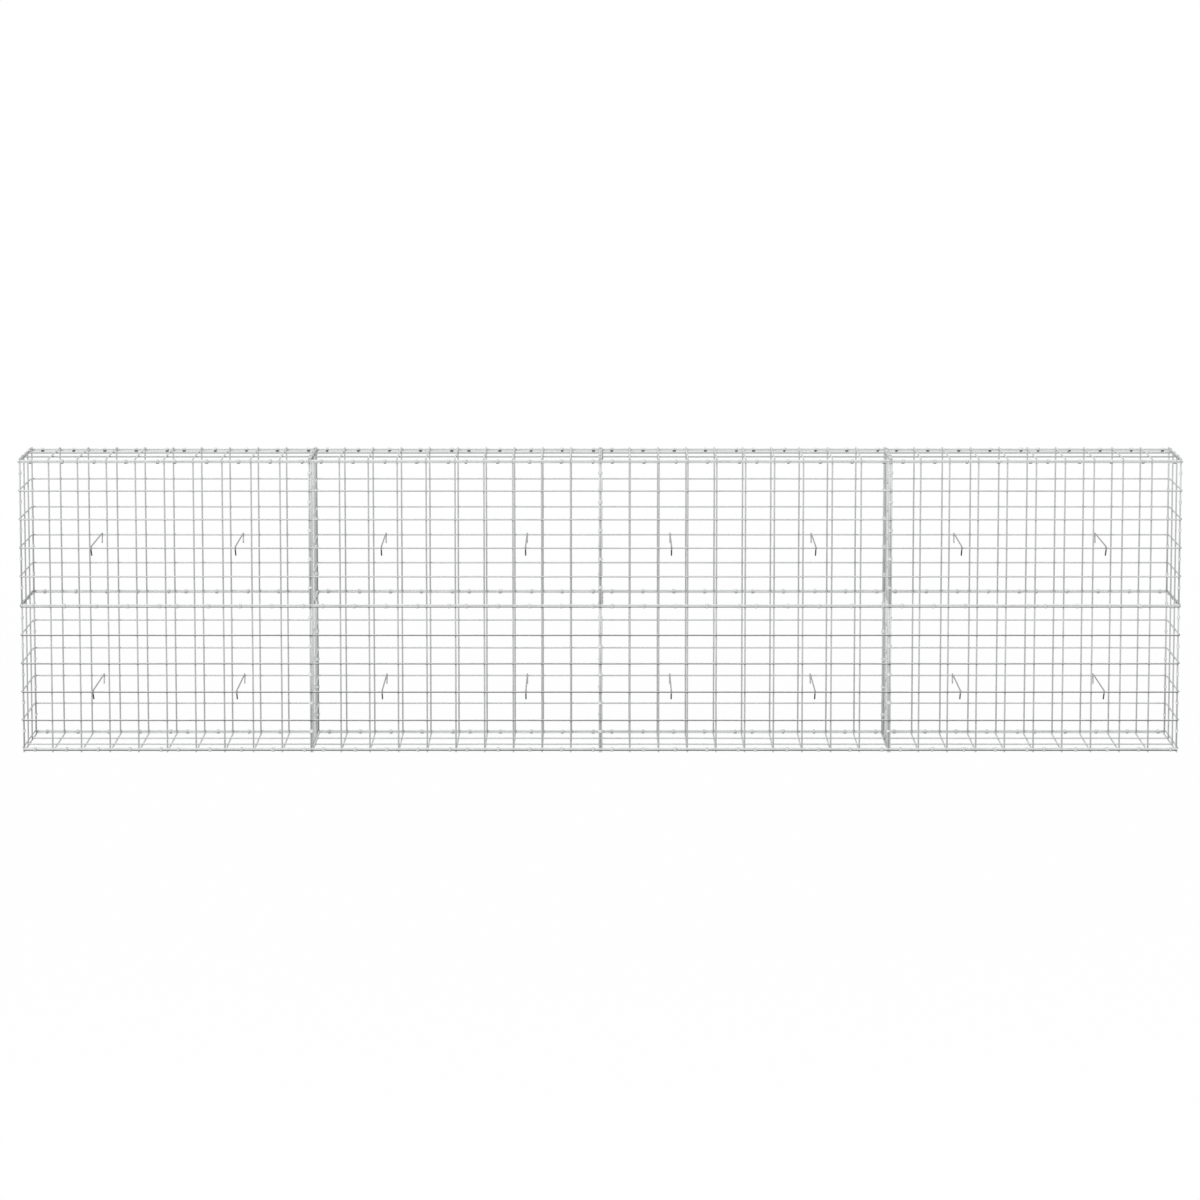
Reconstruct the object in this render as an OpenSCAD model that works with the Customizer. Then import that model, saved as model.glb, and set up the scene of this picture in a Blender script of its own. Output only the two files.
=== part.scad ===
// Welded wire gabion wall with covers, empty: four bays of square mesh panels,
// closed with wire rings along every seam and tied front to back with hooked wires.
// Millimetres, Z up, front towards -Y, standing on Z = 0.

/* [Mesh] */
// Mesh spacing, wire centre to wire centre
mesh = 100; // [80:5:120]
// Mesh cells along one bay
cells_long = 10; // [6:2:12]
// Mesh cells up one panel
cells_high = 5; // [4:1:6]
// Mesh cells from front to back
cells_deep = 3; // [2:1:4]

/* [Wire] */
// Panel wire, across its flats
wire = 5.5; // [4:0.5:6]
// Depth that crossing wires sink into each other at the weld
weld = 0.4; // [0.2:0.1:0.6]
// Free gap between the edge wires of two panels that meet
seam_gap = 0.35; // [0.3:0.05:0.6]

/* [Rings] */
// Wire of the closing rings
ring_wire = 2.7; // [2:0.1:3]
// Turns of wire side by side in a ring
ring_turns = 4; // [2:1:5]
// Free gap between a ring and the wires that it closes on
ring_gap = 0.12; // [0.1:0.02:0.3]
// First ring from the left end of each half bay, in mesh cells
ring_first = 0.38; // [0.3:0.02:0.45]
// Last ring from the right end of each half bay, in mesh cells
ring_last = 0.22; // [0.2:0.02:0.4]
// First ring below the top wire of each panel, in mesh cells
ring_drop = 0.39; // [0.3:0.01:0.6]
// First ring behind the front of a seam across the wall, in mesh cells
cross_first = 0.78; // [0.6:0.02:0.9]
// Distance between rings across the wall, in mesh cells
cross_step = 0.95; // [0.9:0.01:1]

/* [Ties] */
// Wire of the ties
tie_wire = 5; // [3:0.1:5.5]
// Free gap between a hook and the wire that it holds
tie_gap = 0.15; // [0.1:0.05:0.3]
// Where a tie sits between two upright wires, in mesh cells
tie_place = 0.44; // [0.3:0.02:0.7]
// Panel cross wire that a tie hooks over, counted from the panel's bottom wire
tie_row = 2; // [1:1:3]
// Inward lean of the front hook from the vertical, in degrees
front_lean = 40; // [10:1:45]
// Inward lean of the back hook from the vertical, in degrees
back_lean = 15; // [5:1:45]
// Straight end of the front hook
front_hook = 32; // [20:1:40]
// Straight end of the back hook
back_hook = 29; // [20:1:40]

/* [Hidden] */
bays = 4;
half = wire / 2;
corner = half / cos(22.5);
// Centre to centre of two edge wires that meet, and of two wires welded across each other
seam = wire + seam_gap;
lift = wire - weld;

// A panel is cut only at whole mesh cells
long_cells = round(cells_long);
high_cells = round(cells_high);
deep_cells = round(cells_deep);

// Sizes over wire centres
bay_long = long_cells * mesh;
panel_high = high_cells * mesh;
deep = deep_cells * mesh;
wall_long = bays * bay_long + (bays - 1) * seam;
x_end = wall_long / 2;

// Planes front to back: end and divider panels, face uprights, face cross wires
y_side = deep / 2;
y_up = y_side + seam;
y_cross = y_up + lift;

// Heights: base cross wires lie on the ground, the lid mirrors the base
z_low = half + lift + seam;
z_mid = z_low + panel_high + seam;
z_top = z_mid + panel_high;

// Rings and ties follow the wires that they close on
ring_r = corner + ring_gap + ring_wire / 2;
tie_r = corner + tie_gap + tie_wire / 2;
ring_wide = ring_turns * ring_wire;
half_cells = [floor(long_cells / 2), ceil(long_cells / 2)];
deep_rings = [for (k = [0 : deep_cells - 1]) -y_side + (cross_first + cross_step * k) * mesh];
tie_cells = [floor(long_cells / 4), floor(3 * long_cells / 4)];

zinc = [0.74, 0.76, 0.77];
zinc_dark = [0.6, 0.62, 0.63];

// Left edge wire of bay n, counted from 1, and the middle of the seam after it
function bay_x(n) = -x_end + (n - 1) * (bay_long + seam);
function seam_x(n) = bay_x(n) + bay_long + seam / 2;
function steps(cells, from = 0) = [for (i = [0 : cells]) from + i * mesh];
// Ring places along a stretch of so many mesh cells, one ring for each cell
function ring_row(cells) =
    [for (k = [0 : cells - 1]) (ring_first + k * (cells - ring_first - ring_last) / (cells - 1)) * mesh];

// Straight wire along X, eight flats, the flats square to the axes
module bar(length) {
    rotate([0, 90, 0]) rotate([0, 0, 22.5]) cylinder(r = corner, h = length, $fn = 8);
}

// Flat welded mesh: wires along Y at each us, wires along X at each vs, raised by up.
// Every end is cut flush with the last wire across it.
module weldmesh(us, vs, up) {
    u0 = us[0] - half;
    u1 = us[len(us) - 1] + half;
    v0 = vs[0] - half;
    v1 = vs[len(vs) - 1] + half;
    union() {
        for (u = us) translate([u, v0, 0]) rotate([0, 0, 90]) bar(v1 - v0);
        for (v = vs) translate([u0, v, up]) bar(u1 - u0);
    }
}

// Front face panel of bay n, its bottom wire at height z
module face_panel(n, z) {
    color(zinc) translate([bay_x(n), -y_up, z]) rotate([90, 0, 0])
        weldmesh(steps(long_cells), steps(high_cells), lift);
}

module back_panel(n, z) {
    mirror([0, 1, 0]) face_panel(n, z);
}

// Short panel across the wall at x, cross wires on the +X side, or on -X with side = -1
module cross_panel(x, z, side = 1) {
    color(zinc) translate([x, 0, z]) rotate([0, 0, side * 90]) rotate([90, 0, 0])
        weldmesh(steps(deep_cells, -y_side), steps(high_cells), lift);
}

// Lid or base of bay n: long wires meet the faces' edge wires, short wires outside them
function lid_rows() = [for (k = [0 : deep_cells]) (2 * k / deep_cells - 1) * y_cross];

module lid_panel(n) {
    color(zinc) translate([bay_x(n), 0, z_top + seam + lift])
        weldmesh(steps(long_cells), lid_rows(), -lift);
}

module base_panel(n) {
    color(zinc) translate([bay_x(n), 0, half])
        weldmesh(steps(long_cells), lid_rows(), lift);
}

// Rings lie in the XY plane, their turns of wire side by side.
// Ring drawn tight around two wires with centres p and q
module pair_ring(p, q) {
    module around(r) {
        translate([-r, 0]) square([2 * r, norm(q - p)]);
        for (y = [0, norm(q - p)]) translate([0, y]) circle(r = r, $fn = 48);
    }
    translate(p) rotate([0, 0, atan2(p[0] - q[0], q[1] - p[1])])
        linear_extrude(height = ring_wide, center = true) difference() {
            around(ring_r + ring_wire / 2);
            around(ring_r - ring_wire / 2);
        }
}

// Round ring closed on three wires: two side by side at heights of b, the third at [a, 0]
module trio_ring(a, b) {
    w = seam / 2;
    rise = (b * b + w * w - a * a) / (2 * b);
    r = norm([a, rise]) + ring_r;
    translate([0, rise, 0]) linear_extrude(height = ring_wide, center = true) difference() {
        circle(r = r + ring_wire / 2, $fn = 48);
        circle(r = r - ring_wire / 2, $fn = 48);
    }
}

// The rings of one long seam, in a row on each half of a bay, around wires at z and one seam above
module long_rings(y, z) {
    for (n = [1 : bays], h = [0, 1], x = ring_row(half_cells[h]))
        translate([bay_x(n) + h * half_cells[0] * mesh + x, y, z])
            rotate([90, 0, 90]) pair_ring([0, 0], [0, seam]);
}

module face_rings(y) {
    color(zinc_dark) for (z = [z_low - seam, z_mid - seam, z_top]) long_rings(y, z);
}

// Places a ring at each mesh cell up both rows of panels
module up_the_wall() {
    for (z = [z_low, z_mid], k = [0 : high_cells - 1])
        translate([0, 0, z + panel_high - (ring_drop + k) * mesh]) children();
}

module all_corner_rings() {
    color(zinc_dark) for (sx = [-1, 1], y = [-y_up, y_side]) translate([sx * x_end, y, 0])
        up_the_wall() pair_ring([0, 0], [0, seam]);
}

module all_divider_rings() {
    color(zinc_dark) for (n = [1 : bays - 1], turn = [0, 180]) translate([seam_x(n), 0, 0])
        rotate([0, 0, turn]) translate([0, y_side, 0]) up_the_wall() trio_ring(0, seam);
}

// Rings along the seams that run front to back. The base rests on its own wires and has none.
module all_cross_rings() {
    rise = seam + lift;
    color(zinc_dark) for (y = deep_rings) {
        for (sx = [-1, 1]) {
            translate([sx * (x_end + lift), y, z_mid - seam]) rotate([90, 0, 0]) pair_ring([0, 0], [0, seam]);
            translate([sx * x_end, y, z_top]) rotate([90, 0, 0]) pair_ring([sx * lift, 0], [0, rise]);
        }
        for (n = [1 : bays - 1]) translate([seam_x(n), y, 0]) rotate([90, 0, 0]) {
            translate([lift, z_mid - seam, 0]) pair_ring([0, 0], [0, seam]);
            translate([0, z_top, 0]) trio_ring(lift, rise);
        }
    }
}

// One tie along Y over the cross wires at height 0, both ends bent over them and down inside.
// The straight lengths start just inside the bends, which are a hair thicker.
module tie() {
    into = 0.4;
    swell = 0.1;
    module bend(from, turn) {
        rotate([0, 0, from]) rotate_extrude(angle = turn, $fn = 48)
            translate([tie_r, 0]) circle(d = tie_wire + swell, $fn = 24);
    }
    module drawn(length) {
        rotate([-90, 0, 0]) cylinder(d = tie_wire, h = length, $fn = 24);
    }
    rotate([90, 0, 90]) union() {
        translate([-y_cross, 0, 0]) {
            bend(90, 90 + front_lean);
            rotate([0, 0, 180 + front_lean]) translate([tie_r, -into, 0]) drawn(front_hook + into);
        }
        translate([y_cross, 0, 0]) {
            bend(-back_lean, 90 + back_lean);
            rotate([0, 0, -back_lean]) translate([tie_r, -back_hook, 0]) drawn(back_hook + into);
        }
        translate([-y_cross - into, tie_r, 0]) rotate([0, 0, -90]) drawn(2 * (y_cross + into));
    }
}

module ties(z) {
    color(zinc_dark) for (n = [1 : bays], c = tie_cells)
        translate([bay_x(n) + (c + tie_place) * mesh, 0, z + round(tie_row) * mesh]) tie();
}

face_panel(1, z_low);  // front_lower_1
face_panel(2, z_low);  // front_lower_2
face_panel(3, z_low);  // front_lower_3
face_panel(4, z_low);  // front_lower_4
face_panel(1, z_mid);  // front_upper_1
face_panel(2, z_mid);  // front_upper_2
face_panel(3, z_mid);  // front_upper_3
face_panel(4, z_mid);  // front_upper_4
back_panel(1, z_low);  // back_lower_1
back_panel(2, z_low);  // back_lower_2
back_panel(3, z_low);  // back_lower_3
back_panel(4, z_low);  // back_lower_4
back_panel(1, z_mid);  // back_upper_1
back_panel(2, z_mid);  // back_upper_2
back_panel(3, z_mid);  // back_upper_3
back_panel(4, z_mid);  // back_upper_4
lid_panel(1);  // lid_1
lid_panel(2);  // lid_2
lid_panel(3);  // lid_3
lid_panel(4);  // lid_4
base_panel(1);  // base_1
base_panel(2);  // base_2
base_panel(3);  // base_3
base_panel(4);  // base_4
cross_panel(-x_end, z_low, -1);  // left_end_lower
cross_panel(-x_end, z_mid, -1);  // left_end_upper
cross_panel(x_end, z_low);  // right_end_lower
cross_panel(x_end, z_mid);  // right_end_upper
cross_panel(seam_x(1), z_low);  // divider_lower_1
cross_panel(seam_x(2), z_low);  // divider_lower_2
cross_panel(seam_x(3), z_low);  // divider_lower_3
cross_panel(seam_x(1), z_mid);  // divider_upper_1
cross_panel(seam_x(2), z_mid);  // divider_upper_2
cross_panel(seam_x(3), z_mid);  // divider_upper_3
face_rings(-y_cross);  // front_seam_rings
face_rings(y_cross);  // back_seam_rings
all_corner_rings();  // corner_rings
all_divider_rings();  // divider_rings
all_cross_rings();  // cross_seam_rings
ties(z_low);  // lower_ties
ties(z_mid);  // upper_ties
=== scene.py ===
"""Looks of an empty welded-wire gabion wall with covers: round drawn wire with its weld beads,
wound closing rings and bent ties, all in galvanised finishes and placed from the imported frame."""
import math

import bpy
import numpy as np
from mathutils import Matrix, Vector


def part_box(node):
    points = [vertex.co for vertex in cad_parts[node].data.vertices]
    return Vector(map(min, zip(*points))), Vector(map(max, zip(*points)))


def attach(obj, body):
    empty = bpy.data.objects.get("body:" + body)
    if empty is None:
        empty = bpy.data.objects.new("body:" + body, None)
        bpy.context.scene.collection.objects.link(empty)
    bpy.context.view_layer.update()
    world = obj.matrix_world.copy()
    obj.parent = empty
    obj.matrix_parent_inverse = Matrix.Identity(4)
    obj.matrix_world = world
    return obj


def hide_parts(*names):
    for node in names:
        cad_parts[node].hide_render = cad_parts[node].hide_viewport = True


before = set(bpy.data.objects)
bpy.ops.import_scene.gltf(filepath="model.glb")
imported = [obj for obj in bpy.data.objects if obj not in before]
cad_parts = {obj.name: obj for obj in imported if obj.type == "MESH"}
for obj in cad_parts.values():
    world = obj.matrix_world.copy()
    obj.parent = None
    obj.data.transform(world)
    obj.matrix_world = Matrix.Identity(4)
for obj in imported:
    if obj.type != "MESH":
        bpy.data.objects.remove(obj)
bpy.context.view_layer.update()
SEED = 41
chance = np.random.default_rng(SEED)

# Axes: along the wall, through its depth and up
X = 0
Y = 1
Z = 2

# Wire stock, in metres
PANEL_WIRE = 0.0055
RING_WIRE = 0.0027
TIE_WIRE = 0.005
PANEL_SIDES = 12
RING_SIDES = 8
TIE_SIDES = 12
CUT_CHAMFER = 0.0005
CUT_TIP = 0.8
LAY_SPREAD = 40.0

# Welded mesh
MESH = 0.1
BAYS = (1, 2, 3, 4)
WELD_REACH = 0.008
BOW = 0.00015
BOW_WAVES = (0.3, 0.7)
BEAD_WIDE = 0.0030
BEAD_THICK = 0.0012
BEAD_SPREAD = 0.15
BEAD_ROUND = 8
BEAD_RINGS = 3

# Winding of the closing rings, in metres
RING_PLAY = 0.00004
RING_TURNS = 3.5
RING_PITCH = 0.00272
RING_STEPS = 18
RING_SLIDE = 0.0006
LOOP_STEPS = 9

# Places of the closing rings, in mesh cells
RING_FIRST = 0.38
RING_STEP = 1.10
RINGS_IN_HALF_BAY = 5
RING_DROP = 0.39
RINGS_IN_PANEL = 5
CROSS_FIRST = 0.78
CROSS_STEP = 0.95
CROSS_RINGS = 3

# Where the rings on long seams get painted shade, below and on the side towards the bay, in shares
# of their height from the top, and how much. The rows of three are for the bottom, middle and top
# long seams. Rings on uprights are made a little lighter, and rings on the cross seams get painted
# shade on their sides that face along the wall.
BELOW_FROM = 0.72
BELOW_FADE = 0.14
BELOW_PAINTED_SHADE = (0.0, 0.2, 0.75)
WITHIN_FROM = 0.48
WITHIN_TO = 0.86
WITHIN_FADE = 0.08
WITHIN_ROUND = 2.0
WITHIN_PAINTED_SHADE = (0.22, 0.22, 1.0)
UPRIGHT_RING_DARKENING = -0.08
CROSS_PAINTED_SHADE = 0.45

# Ties that hold the front to the back
TIE_CELLS = (2.44, 7.44)
TIE_ROW = 2
TIE_PLAY = 0.00005
FRONT_LEAN = math.radians(40)
BACK_LEAN = math.radians(15)
FRONT_HOOK = 0.032
BACK_HOOK = 0.029
BEND_STEPS = 12
SHANK_STEPS = 6
LEG_STOPS = (0.15, 0.6)
LEG_POINTS = len(LEG_STOPS) + 2
# Painted shade on the front hook's leg, which leans to face down, and painted light on the back hook's leg
FRONT_LEG_PAINTED_SHADE = 1.0
BACK_LEG_PAINTED_LIGHT = -0.8

# Each kind of panel: axis of its first wires, axis of its second wires, and whether the
# first wires lie on the low side of the panel
PANEL_KINDS = {
    "front": (Z, X, False),
    "back": (Z, X, True),
    "left_end": (Z, Y, False),
    "right_end": (Z, Y, True),
    "divider": (Z, Y, True),
    "lid": (Y, X, False),
    "base": (Y, X, True),
}

# How far the panels' wires darken towards the bottom of each panel, and how much further joint
# uprights darken; painted light on wires that lie close to the next panel's, against the shade
# between them; painted shade under the outer level wires, by part; how much darker the wires within
# a lid are; and painted shadow on uprights in the shadow of others
LEVEL_FALL = 0.05
CLOSE_PAINTED_LIGHT = 0.55
CORNER_PAINTED_LIGHT = 0.8
JOINT_PAINTED_LIGHT = 1.5
DIVIDER_PAINTED_LIGHT = 0.95
CLOSE_FALL = 2.5
UNDERSIDE = 0.6
OUTER_FACE = 0.5
# Painted shade under the outer level wires, by part of the wall
PAINTED_UNDERSIDE_SHADE = {"lower": 1.25, "upper": 0.3, "base": 2.0}
LID_DARKENING = 0.35
# Painted shadow on uprights that lie in the shadow of others
UPRIGHT_PAINTED_SHADOW = 0.35

# View of the photograph
CAMERA_PLACE = (-0.001, -14.369, 2.850)
CAMERA_PITCH = math.radians(6.756)
CAMERA_LENS = 124.3
CAMERA_SENSOR = 36.0
CAMERA_SHIFT = -0.15
CAMERA_DEPTH = 200.0

# What each point of a wire tells its finish, and in how many numbers
MARKS = {"drain": 1, "weld": 1, "dull": 1, "lay": 3}


class Stock:
    """Gathers lengths of wire into one mesh, with what the finish has to know at each point."""

    def __init__(self):
        self.points = []
        self.faces = []
        self.flat = []
        self.marks = {name: [] for name in MARKS}
        self.count = 0

    def add(self, points, faces, flat, **marks):
        self.points.append(points)
        self.faces.extend([[corner + self.count for corner in face] for face in faces])
        self.flat.extend(flat)
        for name, width in MARKS.items():
            value = np.asarray(marks.get(name, 0.0), float)
            shape = (len(points),) if width == 1 else (len(points), width)
            self.marks[name].append(np.broadcast_to(value, shape))
        self.count += len(points)

    def piece(self, name, node, finish):
        mesh = bpy.data.meshes.new(name)
        mesh.from_pydata(np.concatenate(self.points).tolist(), [], self.faces)
        mesh.polygons.foreach_set("use_smooth", [not flat for flat in self.flat])
        for mark, width in MARKS.items():
            kind = "FLOAT" if width == 1 else "FLOAT_VECTOR"
            field = "value" if width == 1 else "vector"
            values = np.concatenate(self.marks[mark]).astype(np.float32)
            mesh.attributes.new(mark, kind, "POINT").data.foreach_set(field, values.ravel())
        mesh.materials.append(finish)
        mesh.update()
        made = bpy.data.objects.new(name, mesh)
        bpy.context.scene.collection.objects.link(made)
        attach(made, "root")
        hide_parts(node)


def unit(rows):
    return rows / np.linalg.norm(rows, axis=-1, keepdims=True)


def run_length(path):
    """Distance along a path at each of its points."""
    return np.concatenate(([0.0], np.cumsum(np.linalg.norm(np.diff(path, axis=0), axis=1))))


def drawn_wire(stock, path, thick, sides, beside, shade_and_darkening_at=None, **marks):
    """One length of round wire along a path, its cut ends chamfered. beside is a direction that the
    path never follows. The function after beside gives the painted light and shade, and plain
    darkening, at each point from the way that it faces."""
    along = run_length(path)
    ahead = unit(np.gradient(path, axis=0))
    side = unit(beside - ahead * (ahead @ beside)[:, None])
    up = np.cross(ahead, side)
    radius = np.full(len(path), thick / 2)
    radius[[0, -1]] *= CUT_TIP
    turn = np.arange(sides) * (2 * math.pi / sides)
    facing = np.cos(turn)[:, None] * side[:, None] + np.sin(turn)[:, None] * up[:, None]
    points = path[:, None] + radius[:, None, None] * facing
    across = radius[:, None] * np.cos(turn), radius[:, None] * np.sin(turn)
    start = chance.uniform(0, LAY_SPREAD)
    lay = np.stack((*across, np.broadcast_to(along[:, None] + start, across[0].shape)), -1)
    dull = shade_and_darkening_at(facing) if shade_and_darkening_at else 0.0
    faces = []
    for i in range(len(path) - 1):
        for j in range(sides):
            k = (j + 1) % sides
            faces.append([i * sides + j, i * sides + k, (i + 1) * sides + k, (i + 1) * sides + j])
    last = (len(path) - 1) * sides
    ends = [list(range(sides))[::-1], list(range(last, last + sides))]
    each_point = {name: np.repeat(np.broadcast_to(value, len(path)), sides)
                  for name, value in marks.items()}
    # Painted shade and light, and plain darkening, at each point of the wire
    each_point["dull"] = np.broadcast_to(dull, (len(path), sides)).ravel()
    stock.add(points.reshape(-1, 3), faces + ends, [False] * len(faces) + [True, True],
              lay=lay.reshape(-1, 3), **each_point)


def straight_wire(stock, start, end, crossings, drain, shade_and_darkening_at):
    """A panel wire from start to end, welded at each of the crossings along it, a little bowed but
    never below the ground."""
    length = np.linalg.norm(end - start)
    ahead = (end - start) / length
    near = [c + reach for c in crossings for reach in (-WELD_REACH, 0, WELD_REACH)]
    inner = sorted(s for s in near if 2 * CUT_CHAMFER < s < length - 2 * CUT_CHAMFER)
    stops = np.array([0, CUT_CHAMFER, *inner, length - CUT_CHAMFER, length])
    beside = np.roll(ahead, 1)
    other = np.cross(ahead, beside)
    phase = chance.uniform(0, 2 * math.pi, 2)
    wave = chance.uniform(*BOW_WAVES, 2)
    bow = [BOW * np.sin(2 * math.pi * stops / wave[i] + phase[i]) for i in (0, 1)]
    path = start + stops[:, None] * ahead + bow[0][:, None] * beside + bow[1][:, None] * other
    path[:, Z] = np.maximum(path[:, Z], PANEL_WIRE / 2)
    weld = np.clip(1 - np.abs(stops[:, None] - crossings).min(1) / WELD_REACH, 0, 1)
    drawn_wire(stock, path, PANEL_WIRE, PANEL_SIDES, beside, shade_and_darkening_at, weld=weld, drain=drain(path))


def weld_bead(stock, place, normal):
    """Squeezed-out metal around the contact of two crossing wires."""
    size = np.full(3, BEAD_WIDE)
    size[normal] = BEAD_THICK
    size = size * (1 + BEAD_SPREAD * chance.uniform(-1, 1, 3))
    sweep = np.arange(BEAD_ROUND) * (2 * math.pi / BEAD_ROUND)
    rows = [np.array([[0, 0, -1.0]])]
    for lift in np.linspace(-math.pi / 2, math.pi / 2, BEAD_RINGS + 2)[1:-1]:
        flat = math.cos(lift)
        height = np.full(BEAD_ROUND, math.sin(lift))
        rows.append(np.stack((flat * np.cos(sweep), flat * np.sin(sweep), height), 1))
    rows.append(np.array([[0, 0, 1.0]]))
    points = np.roll(np.concatenate(rows), normal + 1, axis=1) * size + place
    faces = []
    top = len(points) - 1
    for j in range(BEAD_ROUND):
        k = (j + 1) % BEAD_ROUND
        faces.append([0, 1 + k, 1 + j])
        for i in range(BEAD_RINGS - 1):
            a = 1 + i * BEAD_ROUND
            faces.append([a + j, a + k, a + BEAD_ROUND + k, a + BEAD_ROUND + j])
        faces.append([top, top - BEAD_ROUND + j, top - BEAD_ROUND + k])
    stock.add(points, faces, [False] * len(faces), lay=points, weld=1.0, drain=LEVEL_FALL)


def rows_between(low, high, axis):
    """Wire centres across a panel's box, about a mesh cell apart."""
    first = low[axis] + PANEL_WIRE / 2
    last = high[axis] - PANEL_WIRE / 2
    return np.linspace(first, last, round((last - first) / MESH) + 1)


def welded_panel(node, kind, finish):
    """One flat panel: first wires on one side, second wires across them, a bead at each weld."""
    first, second, first_is_low = PANEL_KINDS[kind]
    normal = X + Y + Z - first - second
    low, high = (np.array(corner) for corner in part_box(node))
    inner = low[normal] + PANEL_WIRE / 2, high[normal] - PANEL_WIRE / 2
    level = {first: inner[0 if first_is_low else 1], second: inner[1 if first_is_low else 0]}
    outer = X if kind.endswith("end") else Y
    underside_shade = max([PAINTED_UNDERSIDE_SHADE[part] for part in PAINTED_UNDERSIDE_SHADE if part in node and kind != "divider"], default=0.0)

    def drain(run, edge, start):
        """The tone of the uprights is lightest at the top of each panel and falls towards its bottom. Wires
        that lie close to those of the next panel get painted light that cancels the shade between them,
        most of all between bays, and the tone of edge uprights falls furthest."""
        joint = edge and run == Z and kind != "divider"
        painted_light = 0.0
        # Painted light on wires that lie close to the next panel's, against the shade between them
        if joint:
            painted_light = CORNER_PAINTED_LIGHT if abs(start[X]) > OUTSIDE[X] - PANEL_WIRE else JOINT_PAINTED_LIGHT
        elif kind == "divider" and run == Z:
            painted_light = DIVIDER_PAINTED_LIGHT
        elif edge and run != Y:
            painted_light = CLOSE_PAINTED_LIGHT
        fall = CLOSE_FALL if joint else 1.0
        if run == Z:
            return lambda points: fall * (high[Z] - points[:, Z]) / (high[Z] - low[Z]) - painted_light
        return lambda points: LEVEL_FALL - painted_light

    def shade_and_darkening_at(run, start):
        """Level wires on the outside get painted shade below, most near the ground, but not where the next
        panel covers them. The wires within a lid are darker all round, and the uprights in the shadow of
        others, a back panel's first one and a divider's last, get painted shadow all round."""
        if kind == "lid" and abs(start[Y]) < OUTSIDE[Y]:
            return lambda facing: LID_DARKENING
        in_shadow = {"back": start[X] < low[X] + PANEL_WIRE, "divider": start[Y] > high[Y] - PANEL_WIRE}
        # Painted shadow on uprights in the shadow of the next one
        if run == Z and in_shadow.get(kind, False):
            return lambda facing: UPRIGHT_PAINTED_SHADOW
        covered = start[Z] < low[Z] + PANEL_WIRE
        if covered or run in (Z, outer) or abs(start[outer]) < OUTSIDE[outer]:
            return None
        # Painted shade on the underside of outer level wires
        out = math.copysign(1.0, start[outer])
        return lambda facing: (underside_shade * np.clip(UNDERSIDE - facing[..., Z], 0, 1)
                               * np.clip(OUTER_FACE + out * facing[..., outer], 0, 1))

    stock = Stock()
    rows = {axis: rows_between(low, high, axis) for axis in (first, second)}
    for run, spread in ((first, second), (second, first)):
        crossings = rows[run] - low[run]
        edges = rows[spread][[0, -1]]
        for place in rows[spread]:
            start = np.zeros(3)
            start[[run, spread, normal]] = low[run], place, level[run]
            end = start.copy()
            end[run] = high[run]
            straight_wire(stock, start, end, crossings, drain(run, place in edges, start), shade_and_darkening_at(run, start))
    for u in rows[second]:
        for v in rows[first]:
            place = np.zeros(3)
            place[[second, first, normal]] = u, v, sum(inner) / 2
            weld_bead(stock, place, normal)
    stock.piece(node + "_mesh", node, finish)


def taut_loop(wires, reach):
    """Outline drawn tight around wire centres, which are given counter-clockwise."""
    outline = []
    for i, centre in enumerate(wires):
        before = centre - wires[i - 1]
        after = wires[(i + 1) % len(wires)] - centre
        a = math.atan2(before[1], before[0]) - math.pi / 2
        b = math.atan2(after[1], after[0]) - math.pi / 2
        swing = (b - a) % (2 * math.pi)
        for turn in np.linspace(a, a + swing, LOOP_STEPS):
            outline.append(centre + reach * np.array([math.cos(turn), math.sin(turn)]))
    return np.array(outline)


def closing_ring(stock, wires, axis, place, below=0.0, inside=0.0):
    """A ring wound around the wires that it closes, on a seam along one axis. below and inside tell
    how much painted shade a ring on a long seam gets underneath and on the side towards the bay."""
    across = [(axis + 1) % 3, (axis + 2) % 3]
    loop = taut_loop([np.array(w) for w in wires], PANEL_WIRE / 2 + RING_PLAY + RING_WIRE / 2)
    loop = np.concatenate((loop, loop[:1]))
    around = run_length(loop)
    turns = np.linspace(0, RING_TURNS, round(RING_STEPS * RING_TURNS)) + chance.uniform(0, 1)
    path = np.zeros((len(turns), 3))
    for i in (0, 1):
        path[:, across[i]] = np.interp(turns % 1 * around[-1], around, loop[:, i])
    wind = (np.arange(len(turns)) / (len(turns) - 1) - 0.5) * RING_TURNS * RING_PITCH
    path[:, axis] = place + chance.uniform(-RING_SLIDE, RING_SLIDE) + wind
    beside = np.zeros(3)
    beside[axis] = 1.0
    low, high = path[:, Z].min(), path[:, Z].max()
    drop = (high - path[:, Z, None]) / (high - low)
    inward = -math.copysign(1.0, path[0, Y])

    # Painted shade under rings on long seams and on their sides towards the bay, and on the sides of
    # cross-seam rings that face along the wall; rings on uprights are made a little lighter.
    def shade_and_darkening_at(facing):
        if axis == Z:
            return UPRIGHT_RING_DARKENING
        if axis == Y:
            return CROSS_PAINTED_SHADE * np.abs(facing[..., X])
        within = np.clip(WITHIN_ROUND * inward * facing[..., Y], 0, 1)
        bottom = np.clip((drop - BELOW_FROM) / BELOW_FADE, 0, 1)
        middle = np.clip(np.minimum(drop - WITHIN_FROM, WITHIN_TO - drop) / WITHIN_FADE, 0, 1)
        return np.maximum(below * bottom * (1 - within), inside * middle * within)

    drawn_wire(stock, path, RING_WIRE, RING_SIDES, beside, shade_and_darkening_at)


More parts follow.
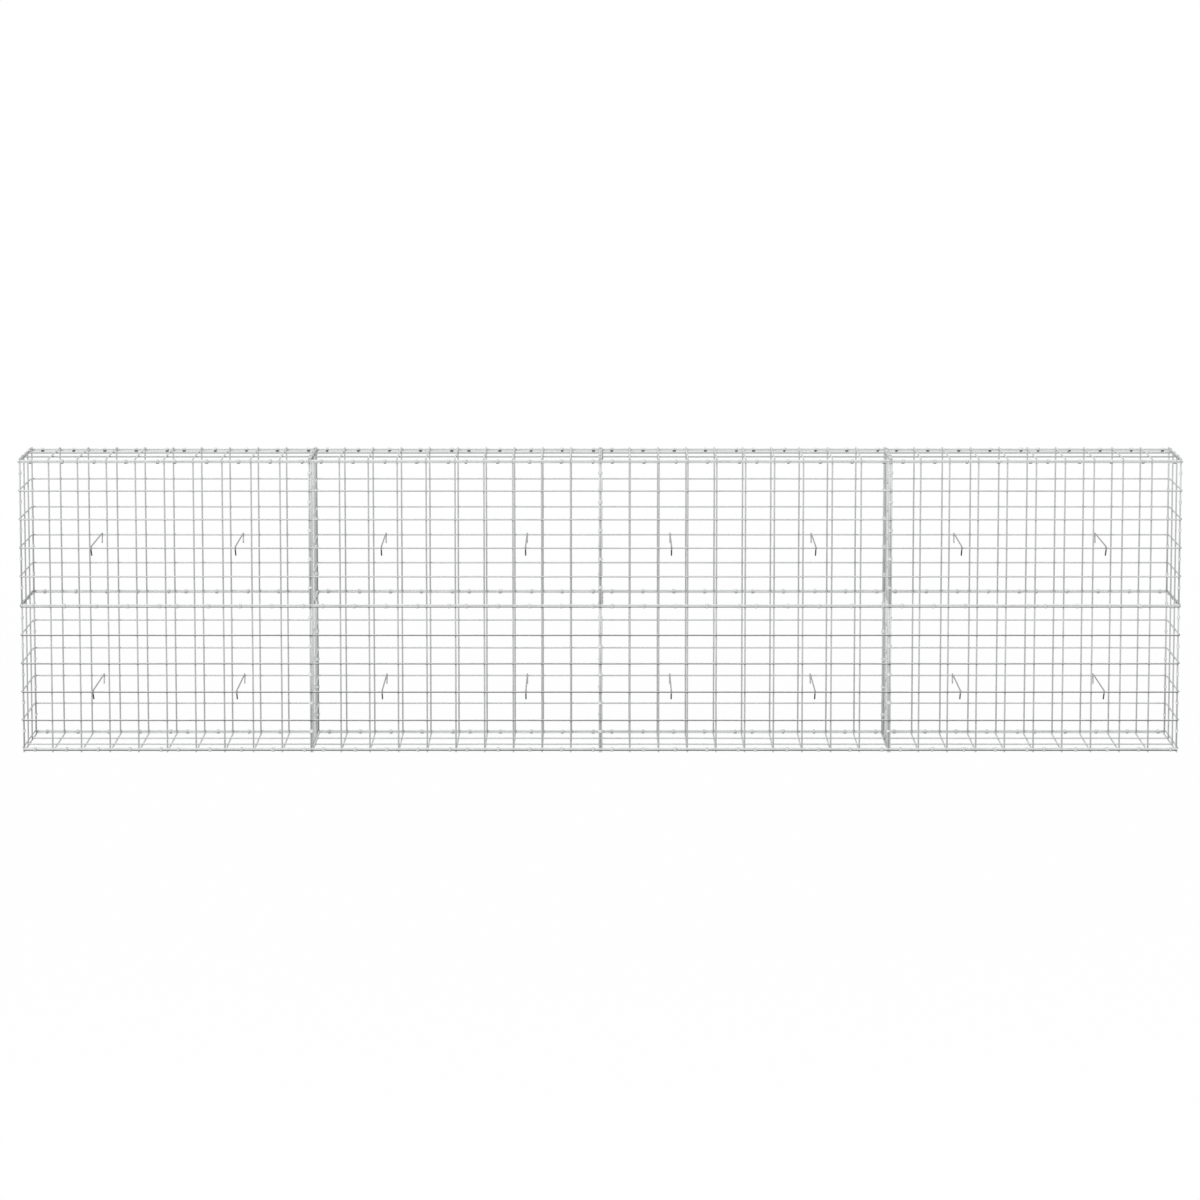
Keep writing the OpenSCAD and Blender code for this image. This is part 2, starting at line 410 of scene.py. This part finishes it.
def bent_tie(stock, x, z, reach):
    """One tie along the wall's depth, over the front and back cross wires, its ends hooked down."""
    bend = (PANEL_WIRE + TIE_WIRE) / 2 + TIE_PLAY

    def hook(centre, side, lean, leg):
        angles = math.pi / 2 - side * np.linspace(0, math.pi / 2 + lean, BEND_STEPS)
        arc = np.stack((centre + bend * np.cos(angles), z + bend * np.sin(angles)), 1)
        heading = np.array([side * np.sin(angles[-1]), -side * np.cos(angles[-1])])
        stops = [share * leg for share in LEG_STOPS] + [leg - CUT_CHAMFER, leg]
        return np.concatenate((arc, [arc[-1] + stop * heading for stop in stops]))

    front = hook(-reach, -1, FRONT_LEAN, FRONT_HOOK)
    back = hook(reach, 1, BACK_LEAN, BACK_HOOK)
    shank = np.linspace(front[0], back[0], SHANK_STEPS)[1:-1]
    line = np.concatenate((front[::-1], shank, back))
    path = np.column_stack((np.full(len(line), x), line))
    # Painted shade on the front leg and painted light on the back leg
    leg_light_and_shade = np.zeros(len(path))
    leg_light_and_shade[:LEG_POINTS] = FRONT_LEG_PAINTED_SHADE
    leg_light_and_shade[-LEG_POINTS:] = BACK_LEG_PAINTED_LIGHT
    drawn_wire(stock, path, TIE_WIRE, TIE_SIDES, np.array([1.0, 0.0, 0.0]), lambda facing: leg_light_and_shade[:, None])


# Places of the wires that the rings and ties hold, read from the frame
def wire_at(node, axis, high_side):
    low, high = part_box(node)
    return high[axis] - PANEL_WIRE / 2 if high_side else low[axis] + PANEL_WIRE / 2


BAY_X = {n: wire_at(f"front_lower_{n}", X, False) for n in BAYS}
BAY_X_END = {n: wire_at(f"front_lower_{n}", X, True) for n in BAYS}
X_END = wire_at("right_end_lower", X, False)
X_END_CROSS = wire_at("right_end_lower", X, True)
Y_SIDE = wire_at("right_end_lower", Y, True)
Y_UP = wire_at("back_lower_1", Y, False)
Y_CROSS = wire_at("back_lower_1", Y, True)
Z_BASE_LONG = wire_at("base_1", Z, True)
Z_LOW = wire_at("front_lower_1", Z, False)
Z_LOW_TOP = wire_at("front_lower_1", Z, True)
Z_MID = wire_at("front_upper_1", Z, False)
Z_TOP = wire_at("front_upper_1", Z, True)
Z_LID_LONG = wire_at("lid_1", Z, False)
Z_LID_SHORT = wire_at("lid_1", Z, True)
DIVIDERS = {n: tuple(wire_at(f"divider_upper_{n}", X, high_side) for high_side in (False, True))
            for n in BAYS[:-1]}
LONG_SEAMS = ((Z_BASE_LONG, Z_LOW), (Z_LOW_TOP, Z_MID), (Z_TOP, Z_LID_LONG))
PANEL_TOPS = (Z_LOW_TOP, Z_TOP)
OUTSIDE = (X_END, Y_UP)


def long_seam_rings(node, y, finish):
    stock = Stock()
    for (low, high), below, inside in zip(LONG_SEAMS, BELOW_PAINTED_SHADE, WITHIN_PAINTED_SHADE):
        for n in BAYS:
            half = (BAY_X_END[n] - BAY_X[n]) / 2
            for start in (BAY_X[n], BAY_X[n] + half):
                for k in range(RINGS_IN_HALF_BAY):
                    x = start + (RING_FIRST + k * RING_STEP) * MESH
                    closing_ring(stock, [(y, low), (y, high)], X, x, below, inside)
    stock.piece(node + "_wound", node, finish)


def upright_ring_heights():
    return [top - (RING_DROP + k) * MESH for top in PANEL_TOPS for k in range(RINGS_IN_PANEL)]


def corner_rings(node, finish):
    stock = Stock()
    for x in (-X_END, X_END):
        for y_low, y_high in ((-Y_UP, -Y_SIDE), (Y_SIDE, Y_UP)):
            for z in upright_ring_heights():
                closing_ring(stock, [(x, y_low), (x, y_high)], Z, z)
    stock.piece(node + "_wound", node, finish)


def divider_rings(node, finish):
    stock = Stock()
    for n, (x, _) in DIVIDERS.items():
        left, right = BAY_X_END[n], BAY_X[n + 1]
        for z in upright_ring_heights():
            closing_ring(stock, [(x, Y_SIDE), (right, Y_UP), (left, Y_UP)], Z, z)
            closing_ring(stock, [(x, -Y_SIDE), (left, -Y_UP), (right, -Y_UP)], Z, z)
    stock.piece(node + "_wound", node, finish)


def cross_seam_rings(node, finish):
    """Rings on the seams across the wall. The wires are given as (z, x)."""
    stock = Stock()
    for k in range(CROSS_RINGS):
        y = -Y_SIDE + (CROSS_FIRST + k * CROSS_STEP) * MESH
        for side in (-1, 1):
            cross = side * X_END_CROSS
            closing_ring(stock, [(Z_LOW_TOP, cross), (Z_MID, cross)], Y, y)
            closing_ring(stock, [(Z_TOP, cross), (Z_LID_SHORT, side * X_END)], Y, y)
        for n, (_, cross) in DIVIDERS.items():
            closing_ring(stock, [(Z_LOW_TOP, cross), (Z_MID, cross)], Y, y)
            lids = [(Z_LID_SHORT, BAY_X_END[n]), (Z_LID_SHORT, BAY_X[n + 1])]
            closing_ring(stock, [(Z_TOP, cross)] + lids, Y, y)
    stock.piece(node + "_wound", node, finish)


def row_of_ties(node, bottom, finish):
    stock = Stock()
    for n in BAYS:
        for cell in TIE_CELLS:
            bent_tie(stock, BAY_X[n] + cell * MESH, bottom + TIE_ROW * MESH, Y_CROSS)
    stock.piece(node + "_bent", node, finish)


# Sockets that a Mix node uses for colours
MIX_FROM = 6
MIX_TO = 7
MIX_RESULT = 2


class Socket:
    """One socket of a material. Sums written with it add Math nodes."""

    def __init__(self, tree, socket=None):
        self.tree = tree
        self.socket = socket

    def node(self, kind, settings=None, inputs=None, out=0):
        made = self.tree.nodes.new(kind)
        for name, value in (settings or {}).items():
            setattr(made, name, value)
        for key, value in (inputs or {}).items():
            if isinstance(value, Socket):
                self.tree.links.new(value.socket, made.inputs[key])
            else:
                made.inputs[key].default_value = value
        return Socket(self.tree, made.outputs[out])

    def maths(self, operation, a, b, clamp=False):
        return self.node("ShaderNodeMath", {"operation": operation, "use_clamp": clamp}, {0: a, 1: b})

    def __add__(self, other):
        return self.maths("ADD", self, other)

    def __radd__(self, other):
        return self.maths("ADD", other, self)

    def __sub__(self, other):
        return self.maths("SUBTRACT", self, other)

    def __rsub__(self, other):
        return self.maths("SUBTRACT", other, self)

    def __mul__(self, other):
        return self.maths("MULTIPLY", self, other)

    def __rmul__(self, other):
        return self.maths("MULTIPLY", other, self)

    def held(self):
        """This value kept between 0 and 1."""
        return self.maths("ADD", self, 0.0, clamp=True)

    def colour(self, dark, light):
        """A colour between two, by this value."""
        ends = {MIX_FROM: (*dark, 1), MIX_TO: (*light, 1)}
        return self.node("ShaderNodeMix", {"data_type": "RGBA"}, {0: self, **ends}, MIX_RESULT)

    def stretched(self, x, y, z):
        """This vector with its axes scaled."""
        return self.node("ShaderNodeVectorMath", {"operation": "MULTIPLY"}, {0: self, 1: (x, y, z)})

    def mark(self, name, out="Fac"):
        return self.node("ShaderNodeAttribute", {"attribute_name": name}, {}, out)

    def noise(self, vector, scale, detail):
        """Noise about zero, from -0.5 to 0.5."""
        inputs = {"Vector": vector, "Scale": scale, "Detail": detail}
        return self.node("ShaderNodeTexNoise", {}, inputs) - NOISE_MIDDLE

    def axis(self, name):
        return self.node("ShaderNodeSeparateXYZ", {}, {0: self}, name)


# Galvanised finishes: how fine their grain is, what it adds to tone, roughness and relief, and how
# strongly each takes the painted light and shade marks
NOISE_MIDDLE = 0.5
DARK_ZINC = (0.0, 0.0, 0.0)
LIGHT_ZINC = (0.985, 1.0, 1.0)
SPANGLE_SCALE = 190.0
CLOUD_SCALE = 6.0
CLOUD_DETAIL = 3.0
STREAK_STRETCH = (1400, 1400, 25)
STREAK_DETAIL = 2.0
SPECK_SCALE = 900.0
SPECK_DETAIL = 2.0
TONE_GRAIN = {"spangle": 0.06, "cloud": 0.12, "streak": 0.06, "speck": 0.05, "weld": -0.05}
ROUGH_GRAIN = {"spangle": 0.12, "cloud": 0.16, "streak": 0.10, "weld": 0.10}
RELIEF_GRAIN = {"spangle": 0.5, "streak": 0.6, "speck": 0.5}
RELIEF_STRENGTH = 0.25
RELIEF_DEPTH = 0.0002
FINISHES = {
    "panel_zinc": {"tone": 0.64, "fall_and_painted_light_share": 0.16, "shade_and_darkening_share": 0.54, "metal": 0.3, "rough": 0.42},
    "ring_zinc": {"tone": 0.76, "fall_and_painted_light_share": 0.0, "shade_and_darkening_share": 0.74, "metal": 0.3, "rough": 0.38},
    "tie_zinc": {"tone": 0.30, "fall_and_painted_light_share": 0.0, "shade_and_darkening_share": 0.28, "metal": 0.3, "rough": 0.40},
}


def galvanised(name, tone, fall_and_painted_light_share, shade_and_darkening_share, metal, rough):
    """Zinc-coated wire. Its tone falls from the top of a panel to the bottom, with painted light on
    wires that lie close together, and it is duller at welds and takes painted shade and darkening
    where a wire's points are marked with them."""
    finish = bpy.data.materials.new(name)
    finish.use_nodes = True
    tree = finish.node_tree
    shader = tree.nodes["Principled BSDF"]
    start = Socket(tree)
    place = start.node("ShaderNodeTexCoord", {}, {}, "Object")
    lay = start.mark("lay", "Vector")
    cells = start.node("ShaderNodeTexVoronoi", {}, {"Vector": place, "Scale": SPANGLE_SCALE}, "Color")
    grain = {
        "spangle": cells.axis("X") - NOISE_MIDDLE,
        "cloud": start.noise(place, CLOUD_SCALE, CLOUD_DETAIL),
        "streak": start.noise(lay.stretched(*STREAK_STRETCH), 1.0, STREAK_DETAIL),
        "speck": start.noise(place, SPECK_SCALE, SPECK_DETAIL),
        "weld": start.mark("weld"),
    }

    def grained(value, shares):
        """A value with its share of each grain added."""
        for kind, share in shares.items():
            value = value + share * grain[kind]
        return value

    # Tone with its grain, less the fall down each panel, raised by painted light on close wires, and less
    # the painted shade and darkening
    shade = grained(tone - fall_and_painted_light_share * start.mark("drain"), TONE_GRAIN) - shade_and_darkening_share * start.mark("dull")
    tree.links.new(shade.held().colour(DARK_ZINC, LIGHT_ZINC).socket, shader.inputs["Base Color"])
    tree.links.new(grained(rough, ROUGH_GRAIN).held().socket, shader.inputs["Roughness"])
    shader.inputs["Metallic"].default_value = metal
    relief = {"Height": grained(0.0, RELIEF_GRAIN), "Strength": RELIEF_STRENGTH, "Distance": RELIEF_DEPTH}
    tree.links.new(start.node("ShaderNodeBump", {}, relief).socket, shader.inputs["Normal"])
    return finish


def build_wall():
    panel_zinc, ring_zinc, tie_zinc = (galvanised(name, **zinc) for name, zinc in FINISHES.items())
    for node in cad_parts:
        for kind in PANEL_KINDS:
            if node.startswith(kind) and not node.endswith("rings"):
                welded_panel(node, kind, panel_zinc)
    long_seam_rings("front_seam_rings", -Y_CROSS, ring_zinc)
    long_seam_rings("back_seam_rings", Y_CROSS, ring_zinc)
    corner_rings("corner_rings", ring_zinc)
    divider_rings("divider_rings", ring_zinc)
    cross_seam_rings("cross_seam_rings", ring_zinc)
    row_of_ties("lower_ties", Z_LOW, tie_zinc)
    row_of_ties("upper_ties", Z_MID, tie_zinc)


# Studio
FLOOR_SIZE = 40.0
FLOOR_TONE = 0.5
FLOOR_WHITE = 0.985
FLOOR_ROUGH = 0.9
FADE_START = 3.0
FADE_END = 8.0
FILL_LIGHT = 0.65
KEY_FROM = (-4.0, -6.0, 6.5)
KEY_SPREAD = math.radians(40)
KEY_LIGHT = 1.7


def seen_directly(start):
    """1 for what the camera, a gloss or a clear part looks at, 0 for soft light."""
    paths = [start.node("ShaderNodeLightPath", {}, {}, out)
             for out in ("Is Camera Ray", "Is Glossy Ray", "Is Transmission Ray")]
    return (paths[0] + paths[1] + paths[2]).held()


def white_world():
    world = bpy.data.worlds.new("white_studio")
    bpy.context.scene.world = world
    world.use_nodes = True
    tree = world.node_tree
    start = Socket(tree)
    fill = start.node("ShaderNodeBackground", {}, {"Color": (1, 1, 1, 1), "Strength": FILL_LIGHT})
    white = start.node("ShaderNodeBackground", {}, {"Color": (1, 1, 1, 1), "Strength": 1.0})
    both = start.node("ShaderNodeMixShader", {}, {0: seen_directly(start), 1: fill, 2: white})
    tree.links.new(both.socket, tree.nodes["World Output"].inputs["Surface"])


def pale_floor():
    """Floor that reads white and keeps a faint shadow near the wall."""
    half = FLOOR_SIZE / 2
    mesh = bpy.data.meshes.new("studio_floor")
    corners = [(-half, -half, 0), (half, -half, 0), (half, half, 0), (-half, half, 0)]
    mesh.from_pydata(corners, [], [(0, 1, 2, 3)])
    finish = bpy.data.materials.new("studio_floor")
    finish.use_nodes = True
    tree = finish.node_tree
    shader = tree.nodes["Principled BSDF"]
    shader.inputs["Base Color"].default_value = (FLOOR_TONE, FLOOR_TONE, FLOOR_TONE, 1)
    shader.inputs["Roughness"].default_value = FLOOR_ROUGH
    shader.inputs["Specular IOR Level"].default_value = 0.0
    start = Socket(tree)
    place = start.node("ShaderNodeTexCoord", {}, {}, "Object")
    reach = start.node("ShaderNodeVectorMath", {"operation": "LENGTH"}, {0: place}, "Value")
    fade = {"Value": reach, "From Min": FADE_START, "From Max": FADE_END}
    far = start.node("ShaderNodeMapRange", {}, fade)
    white = start.node("ShaderNodeEmission", {}, {"Color": (1, 1, 1, 1), "Strength": 1.0})
    share = seen_directly(start) * (FLOOR_WHITE + (1 - FLOOR_WHITE) * far)
    both = start.node("ShaderNodeMixShader", {}, {0: share, 1: Socket(tree, shader.outputs[0]), 2: white})
    tree.links.new(both.socket, tree.nodes["Material Output"].inputs["Surface"])
    mesh.materials.append(finish)
    floor = bpy.data.objects.new("studio_floor", mesh)
    bpy.context.scene.collection.objects.link(floor)


def key_light():
    """Soft, even light from the upper left of the camera."""
    light = bpy.data.lights.new("key_light", "SUN")
    light.energy = KEY_LIGHT
    light.angle = KEY_SPREAD
    lamp = bpy.data.objects.new("key_light", light)
    lamp.location = KEY_FROM
    lamp.rotation_euler = (-Vector(KEY_FROM)).to_track_quat("-Z", "Y").to_euler()
    bpy.context.scene.collection.objects.link(lamp)


def photo_camera():
    lens = bpy.data.cameras.new("photo_camera")
    lens.lens = CAMERA_LENS
    lens.sensor_width = CAMERA_SENSOR
    lens.shift_y = CAMERA_SHIFT
    lens.clip_end = CAMERA_DEPTH
    camera = bpy.data.objects.new("photo_camera", lens)
    camera.location = CAMERA_PLACE
    camera.rotation_euler = (math.pi / 2 - CAMERA_PITCH, 0, 0)
    bpy.context.scene.collection.objects.link(camera)
    bpy.context.scene.camera = camera


bpy.context.scene.view_settings.view_transform = "Standard"
photo_camera()
build_wall()
white_world()
pale_floor()
key_light()
